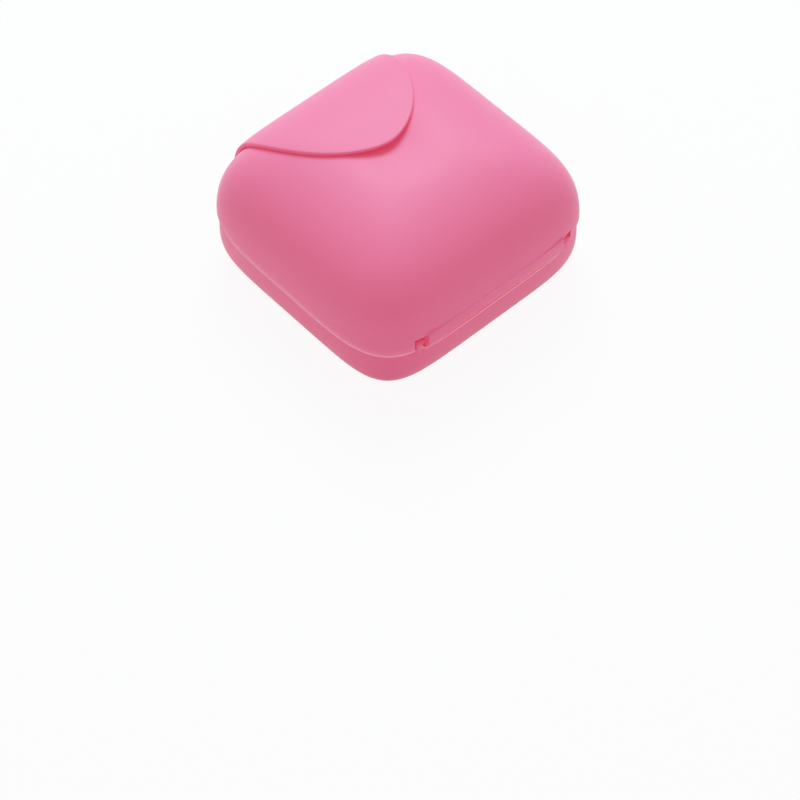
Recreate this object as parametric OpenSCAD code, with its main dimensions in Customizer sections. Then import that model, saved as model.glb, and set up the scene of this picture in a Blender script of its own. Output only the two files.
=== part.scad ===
// Travel soap box: a pillow-shaped lid on a shallow base, a wrap-over flap that lifts
// from a finger dish in the lid's top, and a slotted tray that holds the soap off the water.
// X runs along the rear hinge, +Y points to the flap's side, +Z is up.
// The origin is under the middle of the box, on the surface it stands on.

/* [Box] */
// Width of the lid at its widest, along the hinge
box_w = 105; // [100:1:112]
// Depth of the lid at its widest, from hinge side to flap side
box_d = 102; // [98:1:108]
// Height of the lid's top above the table
box_h = 54; // [50:0.5:58]
// Height of the line where lid and base meet
parting_z = 18; // [17.5:0.25:18.5]
// Wall thickness of the mouldings
wall = 1.8; // [1.6:0.1:2]

/* [Pillow form] */
// Squareness of the outline at the rim (2 is an ellipse)
rim_square = 4.8; // [4.4:0.1:5.2]
// Squareness of the outline near the lid's top
top_square = 5.9; // [5:0.1:6.4]
// Fullness of the lid's shoulders (2 is an ellipse)
shoulder = 2.8; // [2.6:0.05:3]
// How far the lid's lower edge is drawn in
edge_tuck = 1.2; // [0.8:0.1:1.4]
// Fullness of the base's belly (2 is an ellipse)
belly_full = 2.4; // [2.2:0.05:2.6]
// Size of the base's foot against its rim
foot_ratio = 0.867; // [0.85:0.005:0.88]

/* [Finger dish] */
// Radius of the dish in the lid's top
dish_r = 21; // [18:0.5:22]
// Depth of the dish
dish_depth = 1.8; // [1:0.1:2]
// Distance of the dish's middle from the box's middle, towards the flap
dish_y = 1.5; // [0:0.5:3]

/* [Flap] */
// Half width of the tongue where it leaves the shoulder
tongue_w = 31.5; // [30:0.5:31.5]
// Distance from the box's middle to the tongue's tip
tip_y = 3; // [2:0.5:6]
// Thickness of the flap's sheet
flap_t = 1.2; // [1.1:0.05:1.3]
// Gap between the flap and the lid under it
flap_gap = 0.3; // [0.3:0.05:0.4]

/* [Hinges] */
// Half length of the hinge bars, front and rear
bar_half = 31.5; // [31:0.5:32]
// Width of the notch beside each end of the rear bar
notch_w = 5; // [4.9:0.1:5.4]
// Radius of the rear bar's round underside
roll_r = 3; // [2.8:0.05:3]
// Radius of the flap's hinge bar
bar_r = 1.9; // [1.8:0.05:1.95]
// Radius of the stubs that the bars turn on
stub_r = 1; // [0.95:0.05:1.05]

/* [Soap tray] */
// Height of the slotted tray's upper face
tray_z = 9; // [8.5:0.5:10]
// Number of slots across the tray
slots = 9; // [7:2:11]

/* [Hidden] */

$fn = 64;
POINTS = 72;                  // points round each section of a shell
half_w = box_w / 2;
half_d = box_d / 2;
centre_y = -(flap_gap + flap_t) / 2;  // sets flap and lid evenly about the origin
seam_gap = 0.2;               // lid's edge above the base's rim
overhang = edge_tuck + 0.3;   // base's rim, in from the lid's widest outline
tuck_h = 4.6;                 // height over which the lid's lower edge is drawn in
dome_z = parting_z - 0.9;     // level from which the dome's curve starts
base_pink = "#e07795";
lid_pink = "#e88fae";
flap_pink = "#ec9cb8";

// Hinge lines: both run along X
rear_y = -(half_d - 3.1);
rear_z = parting_z + 2.5;
front_y = half_d - 2.1;
front_z = parting_z + 2.5;
run_clear = 0.06;             // radial clearance of a stub in its eye
eye_r = 1.8;                  // eyes that carry the stubs
eye_w = 2.8;
bar_in = 1.9;                 // rear bar's inner face, in from its axis
bar_top_z = parting_z + 8;
notch_top_z = parting_z + 6.6;
cradle_r = roll_r + 0.15;     // hollow in the base's rim that the rear bar rolls in
sheet_low = front_z + 0.8;    // lower end of the flap's sheet

// Rim lip of the base
lip_inset = 4.3;              // lip's outer face, in from the lid's widest outline
lip_t = 1.4;
lip_top_z = parting_z + 3.5;
keeper_half = 8;
keeper_top_z = parting_z + 8;

// Soap tray
plate_t = 1.6;
plate_inset = 7.6;            // tray's edge, in from the lid's widest outline
edge_h = 4;
ridge_r = 1.1;
slot_w = 3.2;
slot_half = 28;

// Section outline: a rounded square with straight-ish sides, as a superellipse
function warp(t) = t + 8.5 * sin(4 * t);
function outline(a, b, n, t) =
    let (c = cos(t), s = sin(t), r = pow(pow(abs(c), n) + pow(abs(s), n), -1 / n))
    [a * r * c, b * r * s];
function section(a, b, n) =
    [for (i = [0 : POINTS - 1]) outline(a, b, n, warp(i * 360 / POINTS))];

// Soft dish pressed into the top: full depth in the middle, no edge at its rim
function dish(p) =
    let (d = norm([p[0], p[1] - dish_y]) / dish_r)
    d >= 1 ? 0 : dish_depth * pow(cos(90 * d), 2);

// One ring of a shell: [half width, half depth, squareness, height, takes the dish]
function ring(r) =
    [for (p = section(r[0], r[1], r[2])) [p[0], p[1], r[3] - r[4] * dish(p)]];

// Closed solid lofted through rings, each end shut by a fan to its middle
module loft(rings) {
    n = len(rings);
    first = rings[0];
    last = rings[n - 1];
    ends = [
        [0, 0, first[3] - first[4] * dish([0, 0])],
        [0, 0, last[3] - last[4] * dish([0, 0])]
    ];
    points = concat([for (r = rings) each ring(r)], ends);
    a = n * POINTS;
    faces = concat(
        [for (k = [0 : n - 2]) for (i = [0 : POINTS - 1]) let (j = (i + 1) % POINTS)
            each [[k * POINTS + i, (k + 1) * POINTS + j, k * POINTS + j],
                  [k * POINTS + i, (k + 1) * POINTS + i, (k + 1) * POINTS + j]]],
        [for (i = [0 : POINTS - 1]) [a, i, (i + 1) % POINTS]],
        [for (i = [0 : POINTS - 1])
            [a + 1, (n - 1) * POINTS + (i + 1) % POINTS, (n - 1) * POINTS + i]]
    );
    polyhedron(points, faces, convexity = 8);
}

// Ring of the lid's dome at a share t of its height, grown outwards by g
function dome_ring(t, g, dished) =
    let (s = pow(1 - pow(t, shoulder), 1 / shoulder),
         z = dome_z + (box_h + g - dome_z) * t,
         tuck = edge_tuck * pow(max(0, 1 - (z - parting_z) / tuck_h), 2))
    [(half_w + g) * s - tuck, (half_d + g) * s - tuck,
     rim_square + (top_square - rim_square) * t * t, z, dished];
function rise(h) = (parting_z + h - dome_z) / (box_h - dome_z);
function turn(u) = pow(sin(u), 2 / shoulder);
function dome(g, dished) =
    [for (t = concat([for (h = [0.55, 1.8, 3.6]) rise(h)],
                     [for (u = [8, 16, 25, 34, 43, 52, 60, 67, 74, 80, 86]) turn(u)]))
        dome_ring(t, g, dished)];

// Half size of the base's belly against its rim, at a height
function belly(z) =
    let (t = (parting_z - z) / parting_z)
    foot_ratio + (1 - foot_ratio) * pow(1 - pow(t, belly_full), 1 / belly_full);
function base_ring(z, g) =
    [(half_w - overhang) * belly(z) + g, (half_d - overhang) * belly(z) + g,
     rim_square + 1.2 * (parting_z - z) / parting_z, z, 0];

function reversed(list) = [for (i = [len(list) - 1 : -1 : 0]) list[i]];

// Sets a piece in the part's frame
module place() {
    translate([0, centre_y, 0]) children();
}

// Solid bar along X between two stations
module along_x(from, to, y, z, r) {
    translate([from, y, z]) rotate([0, 90, 0]) cylinder(r = r, h = to - from);
}

// A profile drawn in Y and Z, run along X and centred
module profile_x(length) {
    translate([-length / 2, 0, 0]) rotate([90, 0, 90]) linear_extrude(length) children();
}

// Straight block from a lowest corner to a highest corner
module block(from, to) {
    translate(from) cube(to - from);
}

module on_both_sides() {
    children();
    mirror([1, 0, 0]) children();
}

module lid_shell() {
    edge_z = parting_z + seam_gap;
    rim_w = half_w - edge_tuck;
    rim_d = half_d - edge_tuck;
    inner = [for (t = concat([rise(3), rise(7)], [for (u = [22, 35, 47, 58, 69, 79, 86]) turn(u)]))
        dome_ring(t, -wall, 1)];
    loft(concat(
        reversed(inner),
        [[rim_w - wall, rim_d - wall, rim_square, edge_z + 0.3, 0],
         [rim_w - wall + 0.3, rim_d - wall + 0.3, rim_square, edge_z, 0],
         [rim_w - 0.3, rim_d - 0.3, rim_square, edge_z, 0]],
        dome(0, 1)
    ));
}

// Straight hinge bar: flat outside, round below, where it rolls in the base's cradle
module rear_bar() {
    face_y = rear_y - roll_r;
    inner_y = rear_y + bar_in;
    profile_x(2 * bar_half) union() {
        intersection() {
            translate([rear_y, rear_z]) circle(r = roll_r);
            translate([face_y, rear_z - roll_r]) square([roll_r + bar_in, roll_r + 1]);
        }
        polygon([
            [face_y, rear_z], [inner_y, rear_z], [inner_y, bar_top_z - 0.6],
            [inner_y - 0.6, bar_top_z], [face_y + 1.6, bar_top_z], [face_y, bar_top_z - 1.2]
        ]);
    }
}

module lid() color(lid_pink) place() {
    low = parting_z - 1;
    past = half_d + 2;
    bar_reach = bar_half + 0.5;
    hook_reach = keeper_half + 2;
    difference() {
        union() {
            difference() {
                lid_shell();
                // Room for the rear bar, and the notches beside its ends
                block([-bar_half, -past, low], [bar_half, rear_y + 4, rear_z + 0.4]);
                on_both_sides() block([bar_half - 0.01, -past, low],
                    [bar_half + notch_w, rear_y + 6, notch_top_z]);
                // Room for the flap's bar in the front edge, taller where its hook passes
                block([-bar_reach, front_y - 3.4, low], [bar_reach, past, front_z + 2.5]);
                block([-hook_reach, front_y - 3.4, low], [hook_reach, past, front_z + 5.1]);
            }
            rear_bar();
            // Stubs on the ends of the rear bar
            on_both_sides() along_x(bar_half - 1, bar_half + 4, rear_y, rear_z, stub_r);
            // Eyes for the flap's stubs, one on each side of the front edge
            on_both_sides() along_x(bar_half + 0.6, bar_half + 0.6 + eye_w,
                front_y, front_z, eye_r);
        }
        on_both_sides() along_x(bar_half, bar_half + 4.2,
            front_y, front_z, stub_r + run_clear);
    }
}

module base_shell() {
    lip_w = half_w - lip_inset;
    lip_d = half_d - lip_inset;
    skin = wall + 0.3;
    foot = base_ring(0, 0);
    loft(concat(
        [[foot[0] - 3.6, foot[1] - 3.6, 6, 0.8, 0], [foot[0] - 3, foot[1] - 3, 6, 0, 0],
         [foot[0] - 0.4, foot[1] - 0.4, 6, 0, 0]],
        [for (h = [0.5, 1.6, 3.4, 6, 9.5, 13.5]) base_ring(h, 0)],
        [[half_w - overhang, half_d - overhang, rim_square, parting_z - 0.35, 0],
         [half_w - overhang - 0.35, half_d - overhang - 0.35, rim_square, parting_z, 0],
         [lip_w, lip_d, rim_square, parting_z, 0],
         [lip_w, lip_d, rim_square, lip_top_z - 0.5, 0],
         [lip_w - 0.4, lip_d - 0.4, rim_square, lip_top_z, 0],
         [lip_w - lip_t, lip_d - lip_t, rim_square, lip_top_z, 0],
         [lip_w - lip_t, lip_d - lip_t, rim_square, parting_z - 2, 0]],
        [for (h = [14, 9.5, 6, 3.6]) base_ring(h, -skin)],
        [base_ring(2.6, -skin - 2.4)]
    ));
}

// Upstand at the front of the lip, with the ledge that the flap's hook lies under
module keeper() {
    face_y = half_d - 4.9;
    profile_x(2 * keeper_half) polygon([
        [face_y - 1.4, parting_z + 1], [face_y, parting_z + 1],
        [face_y, keeper_top_z - 1.6], [face_y + 0.5, keeper_top_z - 1],
        [face_y + 0.5, keeper_top_z - 0.4], [face_y + 0.1, keeper_top_z],
        [face_y - 1.4, keeper_top_z]
    ]);
}

// Ear that carries a stub of the rear bar, standing in the notch
module rear_ear() {
    from = bar_half + 1.5;
    foot_z = parting_z - 1.6;
    difference() {
        union() {
            along_x(from, from + eye_w, rear_y, rear_z, eye_r);
            block([from, rear_y - 1.2, foot_z], [from + eye_w, rear_y + eye_r, rear_z]);
        }
        along_x(from - 1, from + eye_w + 1, rear_y, rear_z, stub_r + run_clear);
    }
}

module base() color(base_pink) place() {
    floor_z = 2;
    bar_reach = bar_half + 0.5;
    rim_d = half_d - overhang;
    union() {
        difference() {
            base_shell();
            // Cradle that the rear bar rolls in, and the bevel that its open face meets
            along_x(-bar_reach, bar_reach, rear_y, rear_z, cradle_r);
            profile_x(2 * bar_reach) polygon([
                [-rim_d - 1, parting_z - 1.15], [rear_y - 0.5, parting_z - 0.55],
                [rear_y - 0.5, parting_z + 1], [-rim_d - 1, parting_z + 1]
            ]);
            on_both_sides() along_x(bar_half - 1, bar_half + notch_w + 0.5,
                rear_y, rear_z, stub_r + 0.5);
        }
        on_both_sides() rear_ear();
        keeper();
        // Posts that the tray stands on
        for (x = [-1, 1], y = [-1, 1])
            translate([x * 33, y * 31.5, floor_z])
                cylinder(r = 2.2, h = tray_z - plate_t - floor_z - 0.2);
        // Drain ribs on the floor
        for (x = [-15, 0, 15])
            block([x - 0.7, -30, floor_z], [x + 0.7, 30, floor_z + 1.6]);
    }
}

// Plan of the flap: a tongue with straight sides and a long, rounded tip
module tongue_plan() {
    round_y = 40;
    fullness = 1.75;
    reach = round_y - tip_y;
    side = concat(
        [for (u = [0, 12, 22, 31, 40, 49, 58, 67, 76, 84])
            [tongue_w * pow(sin(u), 2 / fullness), round_y - reach * pow(cos(u), 2 / fullness)]],
        [[tongue_w, round_y], [tongue_w, half_d + 4]]
    );
    polygon(concat(side, [for (p = reversed(side)) if (p[0] > 0.01) [-p[0], p[1]]]));
}

module pillow(g) {
    loft(concat(
        [[half_w + g, half_d + g, rim_square, parting_z - 4, 0]],
        dome(g, 0)
    ));
}

module clasp_flap() color(flap_pink) place() {
    hook_z = front_z + 2.6;
    union() {
        difference() {
            intersection() {
                pillow(flap_gap + flap_t);
                translate([0, 0, sheet_low]) linear_extrude(box_h) tongue_plan();
            }
            difference() {
                pillow(flap_gap);
                // Web between the sheet and the bar
                block([-bar_half + 0.4, front_y, sheet_low],
                    [bar_half - 0.4, front_y + 6, sheet_low + 1.4]);
            }
        }
        along_x(-bar_half, bar_half, front_y, front_z, bar_r);
        on_both_sides() along_x(bar_half - 1, bar_half + 3.2, front_y, front_z, stub_r);
        // Hook that reaches through the lid's front edge to the base's keeper
        block([-keeper_half + 1, half_d - 4.15, hook_z],
            [keeper_half - 1, half_d + 0.75, hook_z + 1.3]);
    }
}

module tray_outline(inset) {
    polygon(section(half_w - plate_inset - inset, half_d - plate_inset - inset, 5));
}

module drain_tray() color(base_pink) place() {
    low = tray_z - plate_t;
    pitch = 2 * (half_w - plate_inset) * 0.82 / slots;
    translate([0, 0, low]) {
        difference() {
            union() {
                linear_extrude(plate_t) tray_outline(0);
                // Upturned edge
                linear_extrude(edge_h) difference() {
                    tray_outline(0);
                    tray_outline(1.4);
                }
                // Rounded ridges beside the slots
                for (k = [0 : slots])
                    translate([(k - slots / 2) * pitch, 30, plate_t - 0.2])
                        rotate([90, 0, 0]) cylinder(r = ridge_r, h = 60, $fn = 16);
            }
            for (k = [0 : slots - 1])
                translate([(k - (slots - 1) / 2) * pitch, 0, -1]) slot();
        }
    }
}

// Slot with round ends
module slot() {
    linear_extrude(edge_h) union() {
        square([slot_w, 2 * slot_half - slot_w], center = true);
        for (y = [-1, 1])
            translate([0, y * (slot_half - slot_w / 2)]) circle(d = slot_w, $fn = 16);
    }
}

base();
lid();
clasp_flap();
drain_tray();
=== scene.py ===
"""Looks of a travel soap box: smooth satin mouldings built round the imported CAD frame.

Sizes are in millimetres, in the part's own frame, and become metres where a mesh is made.
"""
import logging
import math
from dataclasses import dataclass, field
from enum import Enum
from typing import Any, Iterable, Sequence

import bmesh
import bpy
import numpy as np
from mathutils import Matrix, Vector


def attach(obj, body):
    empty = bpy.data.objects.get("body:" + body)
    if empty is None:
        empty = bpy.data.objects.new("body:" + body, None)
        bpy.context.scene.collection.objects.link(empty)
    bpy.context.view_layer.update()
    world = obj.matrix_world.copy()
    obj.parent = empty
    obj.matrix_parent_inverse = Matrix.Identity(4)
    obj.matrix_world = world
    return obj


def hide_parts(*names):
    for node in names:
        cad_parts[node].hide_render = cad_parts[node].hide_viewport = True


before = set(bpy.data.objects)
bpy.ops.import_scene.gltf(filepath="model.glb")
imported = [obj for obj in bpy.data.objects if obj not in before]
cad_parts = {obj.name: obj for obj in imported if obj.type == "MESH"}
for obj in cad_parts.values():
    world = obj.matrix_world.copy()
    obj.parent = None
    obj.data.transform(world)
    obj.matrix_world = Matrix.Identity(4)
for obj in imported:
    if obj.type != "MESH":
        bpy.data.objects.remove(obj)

LOG = logging.getLogger("soap_box")
MM = 0.001
PAINTED_HIGHLIGHT = "rubbed"  # point attribute that says where a highlight is painted into the plastic's colour
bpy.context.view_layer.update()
Faces = list[tuple[int, ...]]
Profile = list[tuple[float, float]]
Steps = Sequence[tuple[float, float]]


class Body(Enum):
    """The CAD bodies that pieces ride on."""

    BASE = "base"
    LID = "lid"
    FLAP = "clasp_flap"
    TRAY = "drain_tray"


class Cut(Enum):
    """Ways to combine two solids."""

    TAKE_AWAY = "DIFFERENCE"
    ADD = "UNION"


@dataclass(frozen=True)
class Sizes:
    """Driving sizes of the soap box, in millimetres."""

    half_w: float = 52.5
    half_d: float = 51.0
    height: float = 54.0
    parting_z: float = 18.0
    wall: float = 1.8
    rim_square: float = 4.8
    top_square: float = 5.9
    shoulder: float = 2.8
    edge_tuck: float = 1.2
    tuck_h: float = 4.6
    belly_full: float = 2.4
    foot_ratio: float = 0.867
    dish_r: float = 21.0
    dish_depth: float = 1.8
    dish_y: float = 1.5
    flap_gap: float = 0.3
    flap_t: float = 1.2
    bar_half: float = 31.5
    notch_w: float = 5.0
    roll_r: float = 3.0
    stub_r: float = 1.0
    run_clear: float = 0.06
    end_clear: float = 0.5
    keeper_half: float = 8.0
    seam_gap: float = 0.2
    proud: float = 0.35

    @property
    def dome_z(self) -> float:
        """Level from which the dome's curve starts."""
        return self.parting_z - 0.9

    @property
    def overhang(self) -> float:
        """Base's rim, in from the lid's widest outline; it stands just proud of the lid's edge."""
        return self.edge_tuck - self.proud

    @property
    def reach(self) -> float:
        """Half length of the room that each hinge bar turns in."""
        return self.bar_half + self.end_clear

    @property
    def hinge_z(self) -> float:
        """Height of both hinge lines."""
        return self.parting_z + 2.5

    @property
    def rear_y(self) -> float:
        """Depth of the lid's hinge line."""
        return 3.1 - self.half_d

    @property
    def front_y(self) -> float:
        """Depth of the flap's hinge line."""
        return self.half_d - 2.1

    @property
    def centre_y(self) -> float:
        """Shift that sets flap and lid evenly about the origin."""
        return -(self.flap_gap + self.flap_t) / 2


@dataclass(frozen=True)
class Ring:
    """One level of a shell: a rounded square of half sizes w and d at height z."""

    w: float
    d: float
    square: float
    z: float
    dished: float = 0.0


def band(a: int, b: int, n: int) -> Faces:
    """Faces between two rings of n points, whose first points are numbers a and b."""
    return [(a + i, a + (i + 1) % n, b + (i + 1) % n, b + i) for i in range(n)]


def steps_in(w: float, d: float, square: float, z: float, steps: Steps) -> list[Ring]:
    """Rings that are each drawn in from w and d, and lowered from z, by one of the steps."""
    return [Ring(w - a, d - a, square, z - b) for a, b in steps]


def linked(name: str, data: bpy.types.ID) -> bpy.types.Object:
    """Makes an object of its data and links it to the scene.

    Args:
        name: Name of the object.
        data: Its mesh, curve, camera or lamp.

    Returns:
        The new object.
    """
    item = bpy.data.objects.new(name, data)
    bpy.context.scene.collection.objects.link(item)
    return item


def plain_mesh(item: bpy.types.Object) -> bpy.types.Mesh:
    """Works out a mesh of an object as its modifiers or its curve make it.

    Args:
        item: The object.

    Returns:
        A new mesh.
    """
    graph = bpy.context.evaluated_depsgraph_get()
    graph.update()
    return bpy.data.meshes.new_from_object(item.evaluated_get(graph))


@dataclass(frozen=True)
class Pillow:
    """The pillow form that lid, base and flap share."""

    sizes: Sizes = field(default_factory=Sizes)
    points: int = 264
    corner_pull: float = 8.5
    crown: tuple[float, ...] = (0.7, 0.42, 0.18)

    def outline(self, w: float, d: float, square: float, count: int = 0) -> np.ndarray:
        """Points round a rounded square, closer together at its corners.

        Args:
            w: Half width.
            d: Half depth.
            square: Squareness, 2 for an ellipse.
            count: Number of points, or 0 for the pillow's own number.

        Returns:
            An array of x and y.
        """
        count = count or self.points
        turn = np.radians(np.arange(count) * 360 / count)
        turn = turn + np.radians(self.corner_pull) * np.sin(4 * turn)
        c, s = np.cos(turn), np.sin(turn)
        r = (np.abs(c) ** square + np.abs(s) ** square) ** (-1 / square)
        return np.stack([w * r * c, d * r * s], 1)

    def dish(self, x: np.ndarray, y: np.ndarray) -> np.ndarray:
        """Finger dish in the top.

        Args:
            x: Stations along the hinge.
            y: Depths.

        Returns:
            The dish's depth at each place.
        """
        s = self.sizes
        share = np.minimum(np.hypot(x, y - s.dish_y) / s.dish_r, 1)
        return s.dish_depth * np.cos(share * math.pi / 2) ** 2

    def level(self, z: Any, grow: float) -> tuple[Any, Any, Any]:
        """Half width, half depth and squareness of the dome at heights z.

        Args:
            z: One height, or an array of them.
            grow: How far the dome is grown outwards.

        Returns:
            Half width, half depth and squareness.
        """
        s = self.sizes
        t = np.clip((z - s.dome_z) / (s.height + grow - s.dome_z), 0, 1)
        share = np.maximum(1 - t ** s.shoulder, 0) ** (1 / s.shoulder)
        tuck = s.edge_tuck * np.maximum(0, 1 - (z - s.parting_z) / s.tuck_h) ** 2
        square = s.rim_square + (s.top_square - s.rim_square) * t * t
        return (s.half_w + grow) * share - tuck, (s.half_d + grow) * share - tuck, square

    def dome_rings(self, grow: float, from_z: float, steps: int = 60) -> list[Ring]:
        """Rings of the lid's dome, from a height up to the top.

        Args:
            grow: How far the dome is grown outwards.
            from_z: Height of the first ring.
            steps: Number of rings.

        Returns:
            The rings, lowest first.
        """
        s = self.sizes
        top = s.height + grow
        first = (from_z - s.dome_z) / (top - s.dome_z)
        start = math.asin(first ** (s.shoulder / 2))
        rings = []
        for turn in np.linspace(start, math.pi / 2, steps, endpoint=False):
            t = math.sin(turn) ** (2 / s.shoulder)
            z = s.dome_z + (top - s.dome_z) * t
            w, d, square = self.level(z, grow)
            rings.append(Ring(float(w), float(d), float(square), z, 1.0))
        smallest = rings[-1]
        for share in self.crown:
            rings.append(Ring(smallest.w * share, smallest.d * share, s.top_square,
                              top - (top - smallest.z) * share ** s.shoulder, 1.0))
        return rings

    def belly_ring(self, z: float, grow: float) -> Ring:
        """Ring of the base's belly.

        Args:
            z: Its height.
            grow: How far it is grown outwards.

        Returns:
            The ring.
        """
        s = self.sizes
        t = (s.parting_z - z) / s.parting_z
        share = s.foot_ratio + (1 - s.foot_ratio) * (1 - t ** s.belly_full) ** (1 / s.belly_full)
        w, d = s.half_w - s.overhang, s.half_d - s.overhang
        return Ring(w * share + grow, d * share + grow, s.rim_square + 1.2 * t, z)

    def loft(self, rings: Sequence[Ring]) -> tuple[np.ndarray, Faces]:
        """Closed skin through rings, each end shut by a fan to its middle.

        Args:
            rings: The rings in order, inside first.

        Returns:
            Vertices and faces.
        """
        n, rows = self.points, []
        for ring in rings:
            xy = self.outline(ring.w, ring.d, ring.square)
            z = ring.z - ring.dished * self.dish(xy[:, 0], xy[:, 1])
            rows.append(np.column_stack([xy, z]))
        for ring in (rings[0], rings[-1]):
            middle = self.dish(np.zeros(1), np.zeros(1))[0]
            rows.append(np.array([[0, 0, ring.z - ring.dished * middle]]))
        faces: Faces = []
        for k in range(len(rings) - 1):
            faces += band(k * n, (k + 1) * n, n)
        low, high = len(rings) * n, len(rings) * n + 1
        last = (len(rings) - 1) * n
        faces += [(low, (i + 1) % n, i) for i in range(n)]
        faces += [(high, last + i, last + (i + 1) % n) for i in range(n)]
        return np.concatenate(rows), faces

    def reach(self, x: np.ndarray, from_y: np.ndarray, from_z: float, turn: np.ndarray,
              grow: np.ndarray) -> np.ndarray:
        """Where rays in planes across the box meet the dome.

        Args:
            x: Station of each ray along the hinge.
            from_y: Depth from which each ray starts.
            from_z: Height from which the rays start.
            turn: Angle of each ray, 0 towards the flap's side and a right angle upwards.
            grow: How far the dome is grown outwards for each ray.

        Returns:
            An array of points.
        """
        near, far = np.zeros_like(x), np.full_like(x, 60.0)
        for _ in range(36):  # halvings, far finer than a micrometre
            mid = (near + far) / 2
            y, z = from_y + mid * np.cos(turn), from_z + mid * np.sin(turn)
            w, d, square = self.level(z, grow)
            w, d = np.maximum(w, 1e-3), np.maximum(d, 1e-3)
            inside = (np.minimum(np.abs(x) / w, 9) ** square
                      + np.minimum(np.abs(y) / d, 9) ** square) < 1
            near, far = np.where(inside, mid, near), np.where(inside, far, mid)
        return np.column_stack([x, from_y + near * np.cos(turn), from_z + near * np.sin(turn)])


class Workshop:
    """Makes Blender meshes from points, and joins and carves them."""

    def __init__(self, shift_y: float) -> None:
        """Keeps the shift from the box's own middle to the part's frame."""
        self.shift = np.array([0.0, shift_y, 0.0])

    def solid(self, name: str, points: np.ndarray, faces: Faces) -> bpy.types.Object:
        """A mesh object from points in millimetres.

        Args:
            name: Name of the object.
            points: Vertices, in the box's own frame.
            faces: Vertex numbers of each face, seen anticlockwise from outside.

        Returns:
            The new object.
        """
        mesh = bpy.data.meshes.new(name)
        mesh.from_pydata(((points + self.shift) * MM).tolist(), [], faces)
        mesh.update()
        return linked(name, mesh)

    def bar(self, profile: Profile, low: float, high: float, ease: float = 0.0) -> bpy.types.Object:
        """A profile of y and z, run along x.

        Args:
            profile: Corners of a convex outline.
            low: First station along x.
            high: Last station along x.
            ease: How far the edges of both ends are rounded off.

        Returns:
            The new object.
        """
        ring = np.array(profile, float)
        area = np.sum(ring[:, 0] * np.roll(ring[:, 1], -1) - np.roll(ring[:, 0], -1) * ring[:, 1])
        ring = ring if area > 0 else ring[::-1]
        middle = (ring.min(0) + ring.max(0)) / 2
        span = (ring.max(0) - ring.min(0)) / 2
        stations = [(low, 0.0), (high, 0.0)]
        if ease:
            steps = [(ease * (1 - math.cos(a)), ease * (1 - math.sin(a)))
                     for a in np.radians([0, 30, 60, 90])]
            stations = [(low + a, b) for a, b in steps] + [(high - a, b) for a, b in steps[::-1]]
        n = len(ring)
        rows = [np.column_stack([np.full(n, x), middle + (ring - middle) * (1 - inset / span)])
                for x, inset in stations]
        faces: Faces = []
        for k in range(len(stations) - 1):
            faces += band(k * n, (k + 1) * n, n)
        last = (len(stations) - 1) * n
        faces += [tuple(range(n))[::-1], tuple(last + i for i in range(n))]
        return self.solid("bar", np.concatenate(rows), faces)

    def rod(self, y: float, z: float, r: float, low: float, high: float,
            ease: float = 0.0) -> bpy.types.Object:
        """A round rod along x, at a depth and height, of radius r, between two stations."""
        return self.bar(circle(y, z, r), low, high, ease)

    def turned(self, piece: bpy.types.Object, axis: str) -> bpy.types.Object:
        """Turns a solid that was run along x by a right angle, about the origin's x, y or z."""
        piece.data.transform(Matrix.Rotation(math.pi / 2, 4, axis)
                             @ Matrix.Translation(Vector(-self.shift * MM)))
        return piece

    def combine(self, piece: bpy.types.Object, tools: Iterable[bpy.types.Object],
                how: Cut) -> bpy.types.Object:
        """Adds other solids to a piece, or takes them away, and removes them.

        Args:
            piece: The solid that changes.
            tools: The other solids.
            how: Whether they are added or taken away.

        Returns:
            The piece.
        """
        for tool in tools:
            step = piece.modifiers.new("combine", "BOOLEAN")
            step.operation = how.value
            step.solver = "MANIFOLD"
            step.object = tool
            self.bake(piece)
            bpy.data.objects.remove(tool)
        return piece

    def bake(self, piece: bpy.types.Object) -> None:
        """Turns a piece's modifiers into its plain mesh.

        Args:
            piece: The piece.
        """
        old, mesh = piece.data, plain_mesh(piece)
        mesh.name = piece.name
        piece.modifiers.clear()
        piece.data = mesh
        bpy.data.meshes.remove(old)

    def finish(self, piece: bpy.types.Object, name: str) -> bpy.types.Object:
        """Merges doubles and shades the piece smooth between its sharp edges.

        Args:
            piece: The piece.
            name: Its final name.

        Returns:
            The piece.
        """
        work = bmesh.new()
        work.from_mesh(piece.data)
        bmesh.ops.remove_doubles(work, verts=work.verts, dist=1e-7)
        bmesh.ops.dissolve_degenerate(work, edges=work.edges, dist=1e-7)
        open_edges = sum(1 for e in work.edges if not e.is_manifold)
        work.to_mesh(piece.data)
        work.free()
        piece.data.polygons.foreach_set("use_smooth", [True] * len(piece.data.polygons))
        piece.data.set_sharp_from_angle(angle=math.radians(32))
        piece.name = piece.data.name = name
        LOG.info("%s: %d faces, %d open edges", name, len(piece.data.polygons), open_edges)
        return piece


def circle(y: float, z: float, r: float, count: int = 48) -> Profile:
    """Corners of a circle in y and z."""
    return [(y + r * math.cos(a), z + r * math.sin(a))
            for a in np.linspace(0, 2 * math.pi, count, endpoint=False)]


def box_profile(low: tuple[float, float], high: tuple[float, float]) -> Profile:
    """Corners of an upright rectangle in y and z."""
    return [low, (high[0], low[1]), high, (low[0], high[1])]


def rounded(profile: Profile, radius: float, steps: int = 5) -> Profile:
    """A convex outline with its corners rounded.

    Args:
        profile: Corners in y and z.
        radius: Radius of the rounding, made smaller where an edge is short.
        steps: Points on each rounding.

    Returns:
        The new corners.
    """
    out: Profile = []
    count = len(profile)
    for i in range(count):
        here = np.array(profile[i])
        before, after = np.array(profile[i - 1]) - here, np.array(profile[(i + 1) % count]) - here
        reach = min(radius, 0.45 * np.linalg.norm(before), 0.45 * np.linalg.norm(after))
        a, b = before / np.linalg.norm(before), after / np.linalg.norm(after)
        for t in np.linspace(0, 1, steps):
            p = here + reach * ((1 - t) ** 2 * a + t ** 2 * b)
            out.append((float(p[0]), float(p[1])))
    return out


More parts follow.
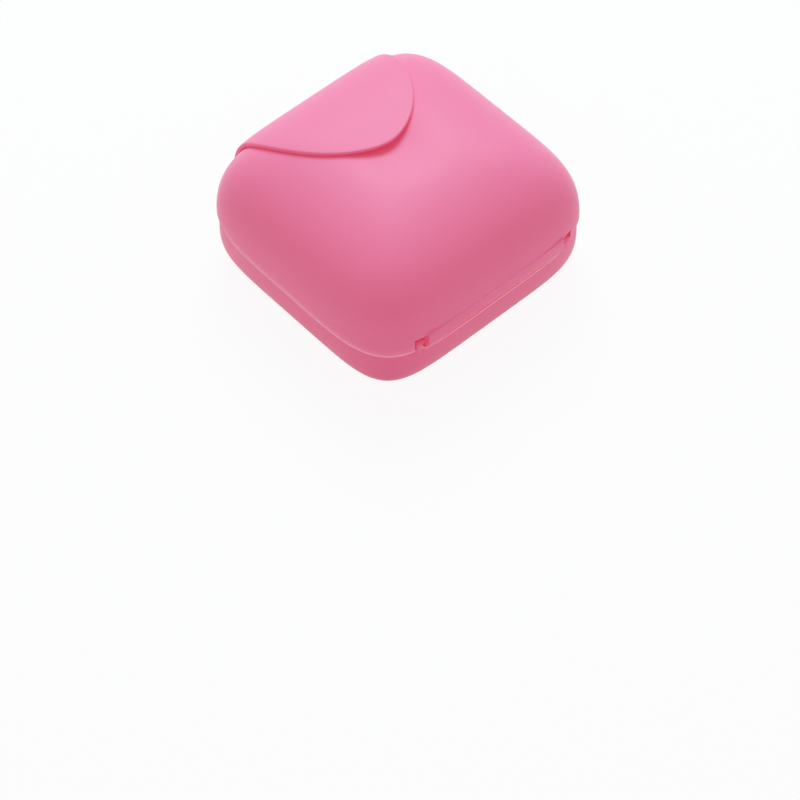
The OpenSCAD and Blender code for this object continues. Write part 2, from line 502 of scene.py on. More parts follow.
def both_sides(low: float, high: float) -> list[tuple[float, float]]:
    """A stretch along x and its mirror image."""
    return [(low, high), (-high, -low)]


# Materials

def new_node(tree: bpy.types.NodeTree, kind: str, settings: dict[str, Any],
             values: dict[Any, Any], output: int | str = 0) -> bpy.types.NodeSocket:
    """Adds a node to a tree.

    Args:
        tree: The tree.
        kind: Type of the node.
        settings: Its own settings, set first.
        values: Numbers, sockets or signals for its inputs, by name or number.
        output: The output that is wanted.

    Returns:
        That output, or the first input of a node that has none.
    """
    node = tree.nodes.new(kind)
    for key, value in settings.items():
        setattr(node, key, value)
    for key, value in values.items():
        value = value.socket if isinstance(value, Signal) else value
        if isinstance(value, bpy.types.NodeSocket):
            tree.links.new(value, node.inputs[key])
        else:
            node.inputs[key].default_value = value
    return node.outputs[output] if len(node.outputs) else node.inputs[0]


class Signal:
    """A node's output that takes part in sums and products."""

    def __init__(self, nodes: "Finish", socket: bpy.types.NodeSocket) -> None:
        """Keeps the socket and the finish whose tree it is in."""
        self.nodes, self.socket = nodes, socket

    def _math(self, operation: str, *values: Any) -> "Signal":
        """Adds one Math node."""
        return self.nodes.add("ShaderNodeMath", {"operation": operation},
                              dict(enumerate(values)))

    def __add__(self, other: Any) -> "Signal":
        """Sum."""
        return self._math("ADD", self, other)

    def __mul__(self, other: Any) -> "Signal":
        """Product."""
        return self._math("MULTIPLY", self, other)

    def __sub__(self, other: Any) -> "Signal":
        """Difference."""
        return self._math("SUBTRACT", self, other)

    def __rsub__(self, other: Any) -> "Signal":
        """Difference from a number."""
        return self._math("SUBTRACT", other, self)

    __radd__ = __add__
    __rmul__ = __mul__


class Finish:
    """A material whose nodes are added one by one."""

    def __init__(self, name: str) -> None:
        """Makes an empty material of that name."""
        self.material = bpy.data.materials.new(name)
        self.material.use_nodes = True
        self.tree = self.material.node_tree
        self.tree.nodes.clear()

    def add(self, kind: str, settings: dict[str, Any], values: dict[Any, Any],
            output: int | str = 0) -> Signal:
        """Adds a node as new_node does, and gives its output as a signal."""
        return Signal(self, new_node(self.tree, kind, settings, values, output))

    def mix(self, share: Any, first: Any, second: Any) -> Signal:
        """Mixes two colours.

        Args:
            share: Share of the second, a number or a signal.
            first: First colour.
            second: Second colour.

        Returns:
            The mixed colour.
        """
        node = self.tree.nodes.new("ShaderNodeMix")
        node.data_type = "RGBA"
        for name, value in (("Factor_Float", share), ("A_Color", first), ("B_Color", second)):
            socket = next(s for s in node.inputs if s.identifier == name)
            if isinstance(value, Signal):
                self.tree.links.new(value.socket, socket)
            else:
                socket.default_value = value
        return Signal(self, next(s for s in node.outputs if s.identifier == "Result_Color"))

    def end(self, shader: Signal) -> bpy.types.Material:
        """Links the shader to the material's output."""
        self.add("ShaderNodeOutputMaterial", {}, {"Surface": shader})
        return self.material


@dataclass(frozen=True)
class SatinPlastic:
    """Pink polypropylene with the fine satin grain of its mould, a highlight painted on its rim and
    a painted red glow.
    """

    name: str
    colour: tuple[float, float, float]
    deep: tuple[float, float, float]
    # colour of the highlight painted along the rim's edge
    rubbed: tuple[float, float, float] = (1.0, 0.7, 0.8)
    # colour and strength of a painted glow: constant emission standing in for light that shines
    # through the plastic into gaps and shade
    through: tuple[float, float, float] = (1.0, 0.01, 0.06)
    painted_glow: float = 0.15
    roughness: float = 0.41
    grain: float = 0.05
    gloss: float = 0.25
    veil: float = 0.25
    glow: float = 0.25

    def material(self) -> bpy.types.Material:
        """Builds the material.

        Returns:
            A procedural material on Object coordinates.
        """
        made = Finish(self.name)
        place = made.add("ShaderNodeTexCoord", {}, {}, "Object")
        cloud = made.add("ShaderNodeTexNoise", {},
                         {"Vector": place, "Scale": 38.0, "Detail": 2.0, "Roughness": 0.5})
        fine = made.add("ShaderNodeTexNoise", {},
                        {"Vector": place, "Scale": 5200.0, "Detail": 1.0, "Roughness": 0.5})
        flow = made.add("ShaderNodeTexNoise", {},
                        {"Vector": place, "Scale": 420.0, "Detail": 3.0, "Roughness": 0.6})
        # painted highlight: a lighter colour mixed in where the point attribute marks the rim's
        # edge
        highlight_mask = made.add("ShaderNodeAttribute", {"attribute_name": PAINTED_HIGHLIGHT}, {}, "Fac")
        colour = made.mix(cloud * 0.5, (*self.colour, 1), (*self.deep, 1))
        colour = made.mix(highlight_mask, colour, (*self.rubbed, 1))
        rough = self.roughness + flow * 0.06 + fine * 0.04
        bump = made.add("ShaderNodeBump", {},
                        {"Strength": self.grain, "Distance": 0.00004, "Height": fine + flow * 0.5})
        shader = made.add("ShaderNodeBsdfPrincipled", {}, {
            "Base Color": colour, "Roughness": rough, "Normal": bump, "IOR": 1.49,
            "Specular IOR Level": self.gloss, "Sheen Weight": self.veil, "Sheen Roughness": 0.35,
            # painted glow: constant red emission that lights up the shaded gaps
            "Emission Color": (*self.through, 1), "Emission Strength": self.painted_glow,
            "Subsurface Weight": self.glow, "Subsurface Radius": (1.0, 0.2, 0.25),
            "Subsurface Scale": 0.004,
        })
        return made.end(shader)


@dataclass(frozen=True)
class StudioFloor:
    """White floor that keeps a soft shadow under the box."""

    share: float = 0.92
    shade: float = 0.9

    def material(self) -> bpy.types.Material:
        """Builds the floor's material.

        Returns:
            A diffuse white that the camera sees partly as plain white.
        """
        made = Finish("studio_floor")
        matte = made.add("ShaderNodeBsdfDiffuse", {}, {"Color": (self.shade,) * 3 + (1,)})
        plain = made.add("ShaderNodeEmission", {}, {"Color": (1, 1, 1, 1), "Strength": 1.0})
        path = {name: made.add("ShaderNodeLightPath", {}, {}, name)
                for name in ("Is Camera Ray", "Is Glossy Ray", "Is Transmission Ray")}
        seen = path["Is Camera Ray"] + path["Is Glossy Ray"] + path["Is Transmission Ray"]
        share = made.add("ShaderNodeMath", {"operation": "MULTIPLY", "use_clamp": True},
                         {0: seen, 1: self.share})
        return made.end(made.add("ShaderNodeMixShader", {}, {0: share, 1: matte, 2: plain}))


# Mouldings

@dataclass
class Moulding:
    """One moulded piece of the box."""

    shop: Workshop
    form: Pillow
    finish: SatinPlastic
    body: Body

    def __post_init__(self) -> None:
        """Makes the material that every part of the piece wears."""
        self.material = self.finish.material()

    def build(self) -> bpy.types.Object:
        """Makes the piece's mesh."""
        raise NotImplementedError

    def painted_highlight_at(self, points: np.ndarray) -> np.ndarray:
        """How far a highlight is painted on each point, from 0 to 1; nowhere unless a moulding says
        so.
        """
        return np.zeros(len(points))

    def dress(self) -> bpy.types.Object:
        """Builds the piece, gives it its finish and sets it on its body.

        Returns:
            The finished piece.
        """
        piece = self.build()
        piece.data.materials.clear()
        piece.data.materials.append(self.material)
        points = np.array([v.co for v in piece.data.vertices]) / MM - self.shop.shift
        # where a highlight is painted into the colour, kept as a point attribute
        rubbed = piece.data.attributes.new(PAINTED_HIGHLIGHT, "FLOAT", "POINT")
        rubbed.data.foreach_set("value", self.painted_highlight_at(points))
        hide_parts(self.body.value)
        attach(piece, self.body.value)
        LOG.info("%s rides on %s", piece.name, self.body.value)
        return piece


@dataclass
class LidMoulding(Moulding):
    """The pillow-shaped lid with its rear bar and the eyes for the flap."""

    bar_in: float = 1.9
    bar_top: float = 8.0
    bar_round: float = 0.35
    notch_top: float = 6.6
    front_room: float = 3.4
    end_round: float = 0.3
    eye_r: float = 1.8
    eye_w: float = 2.8

    def shell(self) -> bpy.types.Object:
        """Makes the thin dome, open below, with a rounded lower edge.

        Returns:
            The dome.
        """
        s = self.form.sizes
        inner = self.form.dome_rings(-s.wall, s.parting_z + 3, 36)
        rim = steps_in(s.half_w - s.edge_tuck, s.half_d - s.edge_tuck, s.rim_square,
                       s.parting_z + s.seam_gap,
                       ((s.wall, -0.3), (s.wall - 0.09, -0.09), (s.wall - 0.3, 0),
                        (0.42, 0), (0.2, -0.05), (0.06, -0.18)))
        outer = self.form.dome_rings(0, s.parting_z + 0.62, 72)
        return self.shop.solid("lid", *self.form.loft(inner[::-1] + rim + outer))

    def bar_profile(self) -> Profile:
        """Upper part of the rear bar, flat outside, with a slope where it meets the dome.

        Returns:
            Its outline in y and z.
        """
        s = self.form.sizes
        face, inner, top = s.rear_y - s.roll_r, s.rear_y + self.bar_in, s.parting_z + self.bar_top
        return rounded([(face, s.hinge_z), (inner, s.hinge_z), (inner, top), (face + 1.3, top),
                        (face, top - 0.8)], self.bar_round)

    def build(self) -> bpy.types.Object:
        """Makes the lid.

        Returns:
            The lid's mesh object.
        """
        s, shop = self.form.sizes, self.shop
        half, hinge_z, hook = s.bar_half, s.hinge_z, s.keeper_half + 2
        low, past, front = s.parting_z - 1, s.half_d + 2, s.front_y - self.front_room
        lid = self.shell()
        notch = rounded(box_profile((-past, low), (s.rear_y + 6, s.parting_z + self.notch_top)),
                        0.5)
        cuts = [shop.bar(box_profile((-past, low), (s.rear_y + 4, hinge_z + 0.4)), -half, half),
                shop.bar(box_profile((front, low), (past, hinge_z + 2.5)), -s.reach, s.reach),
                shop.bar(box_profile((front, low), (past, hinge_z + 5.1)), -hook, hook)]
        cuts += [shop.bar(notch, a, b) for a, b in both_sides(half - 0.01, half + s.notch_w)]
        shop.combine(lid, cuts, Cut.TAKE_AWAY)
        roll = [p for p in circle(s.rear_y, hinge_z, s.roll_r, 96)
                if p[0] <= s.rear_y + self.bar_in and p[1] <= hinge_z + 1]
        added = [shop.bar(profile, -half, half, self.end_round)
                 for profile in (roll, self.bar_profile())]
        added += [shop.rod(s.rear_y, hinge_z, s.stub_r, a, b, 0.2)
                  for a, b in both_sides(half - 1, half + 4)]
        added += [shop.rod(s.front_y, hinge_z, self.eye_r, a, b, 0.2)
                  for a, b in both_sides(half + 0.6, half + 0.6 + self.eye_w)]
        shop.combine(lid, added, Cut.ADD)
        shop.combine(lid, [shop.rod(s.front_y, hinge_z, s.stub_r + s.run_clear, a, b)
                           for a, b in both_sides(half, half + 4.2)], Cut.TAKE_AWAY)
        return shop.finish(lid, "lid_moulding")


@dataclass
class BaseMoulding(Moulding):
    """The shallow base with its rim, cradle, ears, keeper, tray posts and drain ribs."""

    lip_inset: float = 4.3
    lip_t: float = 1.4
    lip_h: float = 3.5
    eye_r: float = 1.6
    eye_w: float = 2.4
    floor_z: float = 2.0
    post_r: float = 2.2
    post_top: float = 7.2
    post_x: float = 33.0
    post_y: float = 31.5
    rib_pitch: float = 15.0
    rib_half: float = 30.0
    rib_h: float = 1.6
    rib_t: float = 1.4

    def shell(self) -> bpy.types.Object:
        """Makes the bowl with its foot, rounded rim and raised lip.

        Returns:
            The bowl.
        """
        s, form = self.form.sizes, self.form
        z, rim, skin, t = s.parting_z, s.rim_square, s.wall + 0.3, self.lip_t
        lip_w, lip_d = s.half_w - self.lip_inset, s.half_d - self.lip_inset
        foot, floor = form.belly_ring(0, 0), form.belly_ring(2.6, -skin)
        rings = steps_in(foot.w, foot.d, 6, 0, ((3.6, -0.8), (3, 0), (0.5, 0), (0.2, -0.08)))
        rings += [form.belly_ring(float(h), 0)
                  for h in z * (1 - np.sin(np.linspace(1.42, 0.03, 26)))]
        rings += steps_in(s.half_w - s.overhang, s.half_d - s.overhang, rim, z,
                          ((0, 0.46), (0.04, 0.38), (0.34, 0.06), (0.46, 0)))
        rings += steps_in(lip_w, lip_d, rim, z + self.lip_h,
                          ((0, self.lip_h), (0, 0.5), (0.15, 0.15), (0.5, 0), (t - 0.5, 0),
                           (t - 0.15, 0.15), (t, 0.5), (t, self.lip_h + 2)))
        rings += [form.belly_ring(h, -skin) for h in (15, 13.5, 12, 10, 8, 6.5, 5, 4, 3.4)]
        rings += steps_in(floor.w, floor.d, 5.8, 2.6, ((0.7, -0.3), (2.4, 0)))
        return self.shop.solid("base", *form.loft(rings))

    def painted_highlight_at(self, points: np.ndarray) -> np.ndarray:
        """Painted highlight on the rim's outer edge and on the bevel under the rear bar, where
        these catch the light.

        Args:
            points: Points in millimetres, in the box's own frame.

        Returns:
            1 where a point is on either, and 0 elsewhere.
        """
        s = self.form.sizes
        x, y, z = np.abs(points).T
        w, d = s.half_w - s.overhang, s.half_d - s.overhang
        out = ((x / w) ** s.rim_square + (y / d) ** s.rim_square) ** (1 / s.rim_square)
        rear = (points[:, 1] < 0) & (x <= s.reach)
        low = s.parting_z - np.where(rear, 1.2, 0.4)
        inner = np.where(rear, 0.94, 0.982)
        return ((z >= low) & (z <= s.parting_z + 0.05) & (out > inner)).astype(float)

    def ear(self, low: float, high: float) -> bpy.types.Object:
        """Makes the ear in a notch that carries one stub of the rear bar.

        Args:
            low: Its first station along x.
            high: Its last station.

        Returns:
            The ear.
        """
        s, shop = self.form.sizes, self.shop
        root = box_profile((s.rear_y - 1.0, s.parting_z - 1.6), (s.rear_y + self.eye_r, s.hinge_z))
        ear = shop.rod(s.rear_y, s.hinge_z, self.eye_r, low, high, 0.25)
        hole = shop.rod(s.rear_y, s.hinge_z, s.stub_r + s.run_clear, low - 1, high + 1)
        shop.combine(ear, [shop.bar(root, low, high, 0.2)], Cut.ADD)
        return shop.combine(ear, [hole], Cut.TAKE_AWAY)

    def keeper(self) -> bpy.types.Object:
        """Makes the upstand at the front that the flap's hook faces.

        Returns:
            The upstand with its ledge.
        """
        s = self.form.sizes
        face, z, top = s.half_d - 4.9, s.parting_z, s.parting_z + 8
        post = rounded(box_profile((face - 1.4, z + 1), (face, top - 0.3)), 0.3)
        ledge = rounded([(face - 1, top - 2.2), (face, top - 1.6), (face + 0.5, top - 1),
                         (face + 0.5, top - 0.3), (face + 0.2, top), (face - 1.4, top)], 0.2)
        upright, nose = (self.shop.bar(profile, -s.keeper_half, s.keeper_half, 0.3)
                         for profile in (post, ledge))
        return self.shop.combine(upright, [nose], Cut.ADD)

    def build(self) -> bpy.types.Object:
        """Makes the base.

        Returns:
            The base's mesh object.
        """
        s, shop = self.form.sizes, self.shop
        rim_d, z = s.half_d - s.overhang, s.parting_z
        base = self.shell()
        # Slope under the rear bar, and room in front for the flap's lower end as it opens
        bevel = [(-rim_d - 1, z - 1.15), (s.rear_y - 0.5, z - 0.55), (s.rear_y - 0.5, z + 1),
                 (-rim_d - 1, z + 1)]
        relief = [(rim_d - 0.65, z + 1), (rim_d - 0.65, z - 1.3), (rim_d + 1, z - 2.6),
                  (rim_d + 1, z + 1)]
        cradle = circle(s.rear_y, s.hinge_z, s.roll_r + 0.15)
        cuts = [shop.bar(profile, -s.reach, s.reach) for profile in (cradle, bevel, relief)]
        cuts += [shop.rod(s.rear_y, s.hinge_z, s.stub_r + 0.5, a, b)
                 for a, b in both_sides(s.bar_half - 1, s.bar_half + s.notch_w + 0.5)]
        shop.combine(base, cuts, Cut.TAKE_AWAY)
        first = s.bar_half + 1.7
        added = [self.ear(a, b) for a, b in both_sides(first, first + self.eye_w)]
        shop.combine(base, added + [self.keeper()], Cut.ADD)
        for part in self.floor_parts():
            join(base, part)
        return shop.finish(base, "base_moulding")

    def floor_parts(self) -> list[bpy.types.Object]:
        """Makes the four posts under the tray and the three drain ribs.

        Returns:
            The posts as one object, and the ribs as another.
        """
        s, shop = self.form.sizes, self.shop
        half = (self.post_top - self.floor_z) / 2
        post = shop.turned(shop.rod(0, 0, self.post_r, -half, half, 0.3), "Y")
        side, up = self.rib_t / 2, self.rib_h / 2
        rib = shop.turned(shop.bar(rounded(box_profile((-side, -up), (side, up)), 0.3),
                                   -self.rib_half, self.rib_half, 0.3), "Z")
        return [Copies(post, 2, 2, (2 * self.post_x, 2 * self.post_y),
                       (0, s.centre_y, self.floor_z + half), self.material).build(),
                Copies(rib, 3, 1, (self.rib_pitch, 0), (0, s.centre_y, self.floor_z + up),
                       self.material).build()]


@dataclass
class FlapMoulding(Moulding):
    """The wrap-over flap: a thin tongue with rounded edges on its hinge bar."""

    tongue_w: float = 31.5
    tip_y: float = 3.0
    round_y: float = 40.0
    fullness: float = 1.75
    turn_y: float = 36.0
    pivot_z: float = 30.0
    low_turn: float = -28.0
    bar_r: float = 1.9
    edge_r: float = 0.5
    columns: int = 64
    top_rows: int = 60
    front_rows: int = 50

    def half_at(self, y: np.ndarray) -> np.ndarray:
        """Half width of the tongue at each depth."""
        k = np.clip((self.round_y - y) / (self.round_y - self.tip_y), 0, 1)
        return self.tongue_w * np.maximum(1 - k ** self.fullness, 0) ** (1 / self.fullness)

    def edge(self) -> tuple[np.ndarray, np.ndarray, np.ndarray]:
        """The tongue's right edge from its tip to its lower end.

        Returns:
            Half width, depth of the ray's start and the ray's angle, for each row.
        """
        share = (self.turn_y - self.tip_y) / (self.round_y - self.tip_y)
        last = math.acos((1 - share) ** (self.fullness / 2))
        u = np.linspace(0, last, self.top_rows)
        y = self.round_y - (self.round_y - self.tip_y) * np.cos(u) ** (2 / self.fullness)
        turn = np.radians(np.linspace(90, self.low_turn, self.front_rows + 1)[1:])
        start = np.full(self.front_rows, self.turn_y)
        near = self.form.reach(np.full(self.front_rows, self.tongue_w - 0.5), start, self.pivot_z,
                               turn, np.full(self.front_rows, 1.0))
        w = np.concatenate([self.half_at(y), self.half_at(near[:, 1])])
        w[0] = 0.0
        return w, np.concatenate([y, start]), np.concatenate([np.full(len(y), math.pi / 2), turn])

    def sheet(self) -> bpy.types.Object:
        """Makes the thin sheet with its rounded edge, closed all round.

        Returns:
            The sheet.
        """
        s = self.form.sizes
        w, y, turn = self.edge()
        rows = len(w)
        slope_x, slope_y = np.zeros(rows), np.ones(rows)
        slope_x[:self.top_rows] = np.gradient(w[:self.top_rows])
        slope_y[:self.top_rows] = np.gradient(y[:self.top_rows])
        slope_x[0], slope_y[0] = 1.0, 0.0
        norm = np.hypot(slope_x, slope_y)
        out_x, out_y = slope_y / norm, -slope_x / norm
        low, high = s.flap_gap, s.flap_gap + s.flap_t
        r, q = self.edge_r, 0.15
        profile = [(r * (1 - math.sin(a)), high - r * (1 - math.cos(a)))
                   for a in np.radians([0, 22, 45, 68, 90])]
        profile += [(q * (1 - math.cos(a)), low + q * (1 - math.sin(a)))
                    for a in np.radians([0, 45, 90])]
        stations: list[tuple[float, float, float, float]] = []

        def vertex(x: float, start: float, angle: float, grow: float) -> int:
            """Notes one vertex and gives its number."""
            stations.append((x, start, angle, grow))
            return len(stations) - 1

        def inset(j: int, d: float) -> tuple[float, float]:
            """Half width and ray's start of row j, drawn in by d."""
            return max(w[j] - d * out_x[j], 0.0), y[j] - d * out_y[j]

        loops = []
        for d, grow in profile:
            tip = vertex(0.0, inset(0, d)[1], turn[0], grow)
            right, left = [tip], [tip]
            for j in range(1, rows):
                x, start = inset(j, d)
                right.append(vertex(x, start, turn[j], grow))
                left.append(vertex(-x, start, turn[j], grow))
            loops.append((right, left))
        faces: Faces = []
        for (ra, la), (rb, lb) in zip(loops, loops[1:]):
            for j in range(rows - 1):
                faces.append((ra[j], rb[j], rb[j + 1], ra[j + 1]))
                faces.append((la[j + 1], lb[j + 1], lb[j], la[j]))
        ends = []
        for (right, left), (d, grow), outer in ((loops[0], profile[0], True),
                                                (loops[-1], profile[-1], False)):
            before: list[int] = []
            for j in range(rows):
                x, start = inset(j, d)
                inner = [vertex(x * c, start, turn[j], grow)
                         for c in np.linspace(-1, 1, self.columns + 1)[1:-1]] if j else []
                row = [left[j], *inner, right[j]] if j else [right[0]]
                if j == 1:
                    sides = [(before[0], row[c + 1], row[c]) for c in range(self.columns)]
                elif j:
                    sides = [(before[c], before[c + 1], row[c + 1], row[c])
                             for c in range(self.columns)]
                else:
                    sides = []
                faces += sides if outer else [f[::-1] for f in sides]
                before = row
            ends.append(before)
        top, under = ends
        faces += [(top[c], top[c + 1], under[c + 1], under[c]) for c in range(self.columns)]
        faces.append(tuple([top[-1], *(loop[0][-1] for loop in loops[1:])]))
        faces.append(tuple([top[0], *(loop[1][-1] for loop in loops[1:])])[::-1])
        x, start, angle, grow = np.array(stations).T
        points = self.form.reach(x, start, self.pivot_z, angle, grow)
        return self.shop.solid("flap", points, faces)

    def build(self) -> bpy.types.Object:
        """Makes the flap.

        Returns:
            The flap's mesh object.
        """
        s, shop = self.form.sizes, self.shop
        flap = self.sheet()
        low, high = s.hinge_z + 0.9, s.hinge_z + 2.4
        web = [(s.front_y, low), (s.half_d + 0.9, low), (s.half_d + 1.1, high), (s.front_y, high)]
        hook = box_profile((s.half_d - 4.15, s.hinge_z + 2.6), (s.half_d + 0.9, s.hinge_z + 3.9))
        shop.combine(flap, [
            shop.rod(s.front_y, s.hinge_z, self.bar_r, -s.bar_half, s.bar_half, 0.3),
            shop.bar(web, -s.bar_half + 0.6, s.bar_half - 0.6),
            shop.bar(rounded(hook, 0.25), 1 - s.keeper_half, s.keeper_half - 1, 0.25),
            *(shop.rod(s.front_y, s.hinge_z, s.stub_r, a, b, 0.2)
              for a, b in both_sides(s.bar_half - 1, s.bar_half + 3.2)),
        ], Cut.ADD)
        return shop.finish(flap, "flap_moulding")


@dataclass
class TrayMoulding(Moulding):
    """The slotted tray that holds the soap off the water."""

    top_z: float = 9.0
    plate_t: float = 1.6
    inset: float = 7.6
    slots: int = 9
    slot_w: float = 3.2
    slot_half: float = 28.0
    ridge_r: float = 1.1
    ridge_half: float = 30.0
    edge_h: float = 4.0
    points: int = 160

    @property
    def pitch(self) -> float:
        """Distance from slot to slot."""
        return 2 * (self.form.sizes.half_w - self.inset) * 0.82 / self.slots

    def plate(self) -> bpy.types.Object:
        """Makes the flat plate with its slots, its edges eased.

        Returns:
            The plate.
        """
        s, ease = self.form.sizes, 0.25
        curve = bpy.data.curves.new("tray_plate", "CURVE")
        curve.dimensions, curve.fill_mode = "2D", "BOTH"
        w, d = s.half_w - self.inset, s.half_d - self.inset
        loops = [self.form.outline(w - ease, d - ease, 5, self.points) + [0, s.centre_y]]
        end = self.slot_half - self.slot_w / 2
        for k in range(self.slots):
            x = (k - (self.slots - 1) / 2) * self.pitch
            turns = np.linspace(0, math.pi, 13)
            r = self.slot_w / 2 + ease
            loop = [(x + r * math.cos(a), end + r * math.sin(a)) for a in turns]
            loop += [(x - r * math.cos(a), -end - r * math.sin(a)) for a in turns]
            loops.append(np.array(loop) + [0, s.centre_y])
        for loop in loops:
            line = curve.splines.new("POLY")
            line.points.add(len(loop) - 1)
            for point, (x, y) in zip(line.points, loop):
                point.co = (x * MM, y * MM, 0, 1)
            line.use_cyclic_u = True
        curve.extrude = (self.plate_t / 2 - ease) * MM
        curve.bevel_depth = ease * MM
        curve.bevel_resolution = 2
        flat = linked("tray_plate", curve)
        mesh = plain_mesh(flat)
        mesh.transform(Matrix.Translation((0, 0, (self.top_z - self.plate_t / 2) * MM)))
        bpy.data.objects.remove(flat)
        return linked("tray_moulding", mesh)

    def upstand(self) -> bpy.types.Object:
        """Makes the upturned edge round the plate.

        Returns:
            A closed ring.
        """
        s, n, high = self.form.sizes, self.points, self.edge_h
        rings = steps_in(s.half_w - self.inset, s.half_d - self.inset, 5,
                         self.top_z - self.plate_t,
                         ((0, -0.4), (0, 0.4 - high), (0.12, 0.12 - high), (0.5, -high),
                          (0.9, -high), (1.28, 0.12 - high), (1.4, 0.4 - high), (1.4, -0.4)))
        rows = [np.column_stack([self.form.outline(r.w, r.d, r.square, n), np.full(n, r.z)])
                for r in rings]
        faces: Faces = []
        for k in range(len(rings)):
            faces += band(k * n, (k + 1) % len(rings) * n, n)
        return self.shop.solid("upstand", np.concatenate(rows), faces)

    def build(self) -> bpy.types.Object:
        """Makes the tray.

        Returns:
            The tray's mesh object.
        """
        tray, shop, half = self.plate(), self.shop, self.ridge_half
        ridge = shop.turned(shop.rod(0, 0, self.ridge_r, -half, half, 0.4), "Z")
        ridges = Copies(ridge, self.slots + 1, 1, (self.pitch, 0),
                        (0, self.form.sizes.centre_y, self.top_z - 0.2), self.material)
        for part in (self.upstand(), ridges.build()):
            join(tray, part)
        return shop.finish(tray, "tray_moulding")


def join(piece: bpy.types.Object, other: bpy.types.Object) -> None:
    """Puts another object's mesh into a piece as it is.

    Args:
        piece: The object that grows.
        other: The object that goes into it.
    """
    work = bmesh.new()
    work.from_mesh(piece.data)
    work.from_mesh(other.data)
    work.to_mesh(piece.data)
    work.free()
    bpy.data.objects.remove(other)


@dataclass(frozen=True)
class Copies:
    """Equal solids set out in columns and rows, by Geometry Nodes."""

    source: bpy.types.Object
    columns: int
    rows: int
    pitch: tuple[float, float]
    middle: tuple[float, float, float]
    material: bpy.types.Material

    def tree(self) -> bpy.types.GeometryNodeTree:
        """Builds the node tree.

        Returns:
            A tree with named inputs for the piece, its numbers, its pitches and its material.
        """
        group = bpy.data.node_groups.new("columns_and_rows", "GeometryNodeTree")
        for name, kind in (("Piece", "Object"), ("Columns", "Int"), ("Rows", "Int"),
                           ("Pitch X", "Float"), ("Pitch Y", "Float"), ("Material", "Material")):
            group.interface.new_socket(name, in_out="INPUT", socket_type="NodeSocket" + kind)
        group.interface.new_socket("Geometry", in_out="OUTPUT", socket_type="NodeSocketGeometry")

        def add(kind: str, values: dict[Any, Any], output: int | str = 0) -> bpy.types.NodeSocket:
            """Adds a geometry node."""
            return new_node(group, kind, {}, values, output)

        def number(operation: str, a: Any, b: Any) -> bpy.types.NodeSocket:
            """Adds one Math node."""
            return new_node(group, "ShaderNodeMath", {"operation": operation}, {0: a, 1: b})

        def offset(step: Any, count: Any, pitch: Any) -> bpy.types.NodeSocket:
            """Place of a step in a row of that many, set evenly about the middle."""
            middle = number("MULTIPLY", number("SUBTRACT", count, 1.0), 0.5)
            return number("MULTIPLY", number("SUBTRACT", step, middle), pitch)

        given = group.nodes.new("NodeGroupInput").outputs
        index = add("GeometryNodeInputIndex", {})
        column = number("FLOORED_MODULO", index, given["Columns"])
        row = number("FLOOR", number("DIVIDE", index, given["Columns"]), 0.0)
        place = add("ShaderNodeCombineXYZ", {
            "X": offset(column, given["Columns"], given["Pitch X"]),
            "Y": offset(row, given["Rows"], given["Pitch Y"])})
        points = add("GeometryNodePoints", {
            "Count": number("MULTIPLY", given["Columns"], given["Rows"]), "Position": place})
        piece = add("GeometryNodeObjectInfo", {"Object": given["Piece"]}, "Geometry")
        spread = add("GeometryNodeInstanceOnPoints", {"Points": points, "Instance": piece})
        real = add("GeometryNodeRealizeInstances", {"Geometry": spread})
        paint = add("GeometryNodeSetMaterial", {"Geometry": real, "Material": given["Material"]})
        add("NodeGroupOutput", {"Geometry": paint})
        return group

    def build(self) -> bpy.types.Object:
        """Runs the tree once, keeps its result as a plain mesh and removes the source.

        Returns:
            The copies as one object.
        """
        carrier = linked("copies", bpy.data.meshes.new("copies"))
        step = carrier.modifiers.new("copies", "NODES")
        step.node_group = self.tree()
        values = {"Piece": self.source, "Columns": self.columns, "Rows": self.rows,
                  "Pitch X": self.pitch[0] * MM, "Pitch Y": self.pitch[1] * MM,
                  "Material": self.material}
        for item in step.node_group.interface.items_tree:
            if item.item_type == "SOCKET" and item.in_out == "INPUT":
                step[item.identifier] = values[item.name]
        mesh = plain_mesh(carrier)
        carrier.modifiers.clear()
        mesh.transform(Matrix.Translation(Vector(self.middle) * MM))
        carrier.data = mesh
        bpy.data.objects.remove(self.source)
        return carrier


# Studio

@dataclass(frozen=True)
class Viewpoint:
    """The camera's place, from the angle, distance and pixel place of the box."""

    azimuth: float = -42.164
    elevation: float = 52.951
    distance: float = 1.0293
    focal_px: float = 2951.0
    pixel: tuple[float, float] = (397.85, 209.12)
    middle: tuple[float, float, float] = (0.0, 0.0, 22.0)
    image_px: float = 800.0
    sensor: float = 36.0

    def place(self, shift_y: float) -> bpy.types.Object:
        """Sets the scene's camera.

        Args:
            shift_y: Shift of the box in depth, in millimetres.

        Returns:
            The camera.
        """
        az, el = math.radians(self.azimuth), math.radians(self.elevation)
        back = Vector((math.sin(az) * math.cos(el), -math.cos(az) * math.cos(el), math.sin(el)))
        right = Vector((math.cos(az), math.sin(az), 0.0))
        up = back.cross(right)
        half = self.image_px / 2
        aside = (self.pixel[0] - half) / self.focal_px * self.distance
        above = -(self.pixel[1] - half) / self.focal_px * self.distance
        middle = (Vector(self.middle) + Vector((0, shift_y, 0))) * MM
        data = bpy.data.cameras.new("view")
        data.sensor_width = self.sensor
        data.lens = self.focal_px * self.sensor / self.image_px
        data.clip_start = 0.01
        camera = linked("view", data)
        turn = Matrix((right, up, back)).transposed().to_4x4()
        spot = middle + back * self.distance - right * aside - up * above
        camera.matrix_world = Matrix.Translation(spot) @ turn
        bpy.context.scene.camera = camera
        return camera


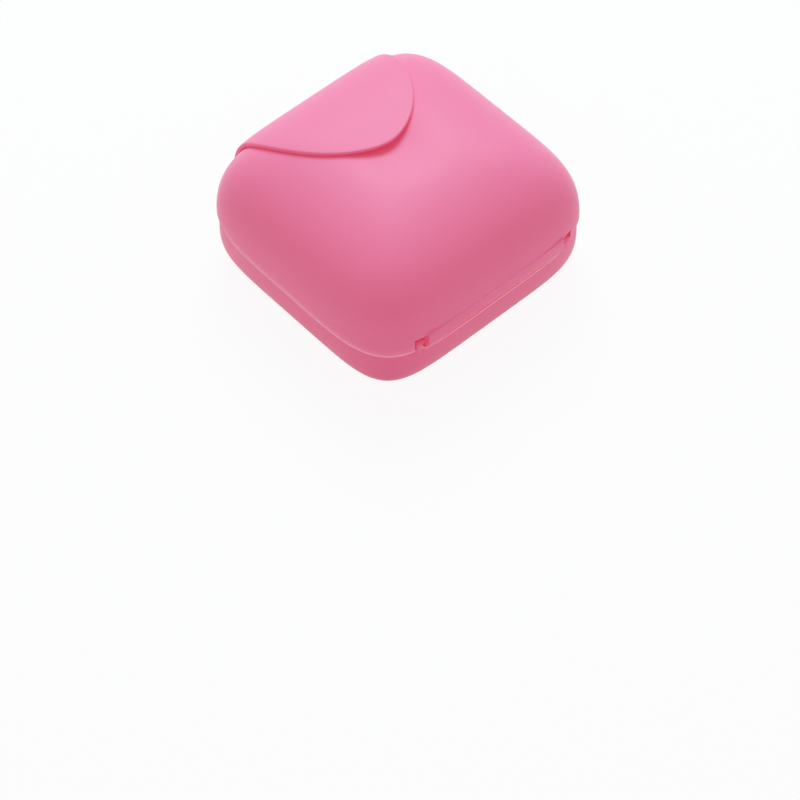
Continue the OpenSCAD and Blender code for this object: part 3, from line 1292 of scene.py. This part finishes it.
@dataclass(frozen=True)
class Lamp:
    """A soft area lamp that faces the box."""

    name: str
    spot: tuple[float, float, float]
    size: float
    power: float
    colour: tuple[float, float, float] = (0.6, 1.0, 1.03)
    target: tuple[float, float, float] = (0.0, 0.0, 0.03)

    def hang(self) -> bpy.types.Object:
        """Places the lamp, turned to its target.

        Returns:
            The lamp.
        """
        data = bpy.data.lights.new(self.name, "AREA")
        data.shape, data.size, data.energy = "DISK", self.size, self.power
        data.color = self.colour
        lamp = linked(self.name, data)
        lamp.location = self.spot
        aim = Vector(self.target) - Vector(self.spot)
        lamp.rotation_euler = aim.to_track_quat("-Z", "Y").to_euler()
        return lamp


@dataclass(frozen=True)
class Studio:
    """Plain white floor, two soft cool lamps behind the box and an even, slightly warm surround."""

    floor_half: float = 3.0
    surround: float = 0.57
    warmth: tuple[float, float, float] = (1.0, 0.79, 0.81)
    lamps: tuple[Lamp, ...] = (
        Lamp("key", (0.62, 0.72, 1.15), 0.9, 13.5),
        Lamp("rim", (0.5, 1.4, 0.55), 0.9, 1.5),
    )

    def build(self) -> None:
        """Sets floor, lamps, surround and view transform."""
        half = self.floor_half
        mesh = bpy.data.meshes.new("floor")
        mesh.from_pydata([(-half, -half, 0), (half, -half, 0), (half, half, 0), (-half, half, 0)],
                         [], [(0, 1, 2, 3)])
        mesh.materials.append(StudioFloor().material())
        linked("floor", mesh)
        for lamp in self.lamps:
            lamp.hang()
        world = bpy.data.worlds.new("surround")
        world.use_nodes = True
        sky = next(n for n in world.node_tree.nodes if n.type == "BACKGROUND")
        sky.inputs["Color"].default_value = (*self.warmth, 1)
        sky.inputs["Strength"].default_value = self.surround
        bpy.context.scene.world = world
        bpy.context.scene.view_settings.view_transform = "Standard"


def main() -> None:
    """Builds the camera, the studio and each moulding."""
    logging.basicConfig(level=logging.INFO, format="%(name)s: %(message)s")
    form = Pillow()
    shift = form.sizes.centre_y
    shop = Workshop(shift)
    Viewpoint().place(shift)
    Studio().build()
    deep = (0.83, 0.25, 0.43), (0.81, 0.225, 0.4)
    light = (0.83, 0.26, 0.45), (0.81, 0.238, 0.42)
    for kind, slot, pinks, body in ((BaseMoulding, "base_plastic", deep, Body.BASE),
                                    (LidMoulding, "lid_plastic", light, Body.LID),
                                    (FlapMoulding, "flap_plastic", light, Body.FLAP),
                                    (TrayMoulding, "tray_plastic", deep, Body.TRAY)):
        kind(shop, form, SatinPlastic(slot, *pinks), body).dress()


if __name__ == "__main__":
    main()
